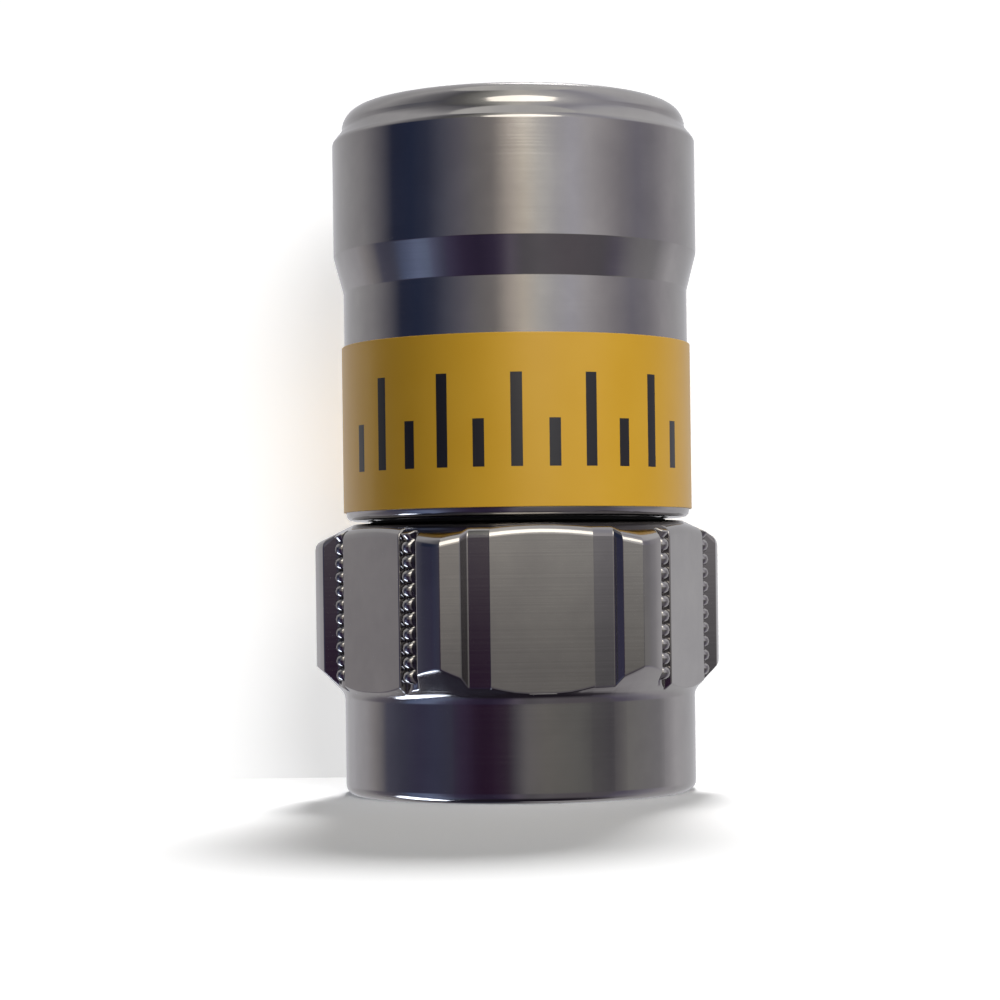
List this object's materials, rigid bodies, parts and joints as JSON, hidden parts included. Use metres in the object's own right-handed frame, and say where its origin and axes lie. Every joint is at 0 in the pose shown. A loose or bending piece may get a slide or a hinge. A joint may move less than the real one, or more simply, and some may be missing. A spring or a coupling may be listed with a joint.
{
  "type": "compression f connector plug",
  "caption": "Male F connector plug for thin 75 ohm coaxial cable: free-turning hex coupling nut, barbed post and a sliding metal compression shell with a yellow size band.",
  "frame": {"origin": "on the cable axis at the nut's open mouth, which is the face the plug stands on", "axes": "+Z along the cable axis, from the mating mouth of the nut to the cable entry; -Y faces the viewer, with one of the nut's flats turned 7 degrees from it"},
  "size_m": [0.0124, 0.0116, 0.021],
  "materials": {
    "nickel_plate": "satin",
    "acetal": "satin",
    "seal_rubber": "matte",
    "label_tape": "satin"
  },
  "bodies": {
    "plug": {"post": "nickel_plate", "connector_body": "nickel_plate", "nut_seal": "seal_rubber"},
    "nut": {"coupling_nut": "nickel_plate"},
    "shell": {"compression_shell": "nickel_plate", "grip_ring": "acetal", "cable_seal": "seal_rubber", "size_label": "label_tape"}
  },
  "joints": [
    {"name": "nut_spin", "type": "hinge", "parent": "plug", "child": "nut", "pos_m": [0, 0, 0], "axis": [0, 0, 1], "continuous": true},
    {"name": "shell_slide", "type": "slide", "parent": "plug", "child": "shell", "axis": [0, 0, 1], "range_m": [0, 0.0045]}
  ]
}
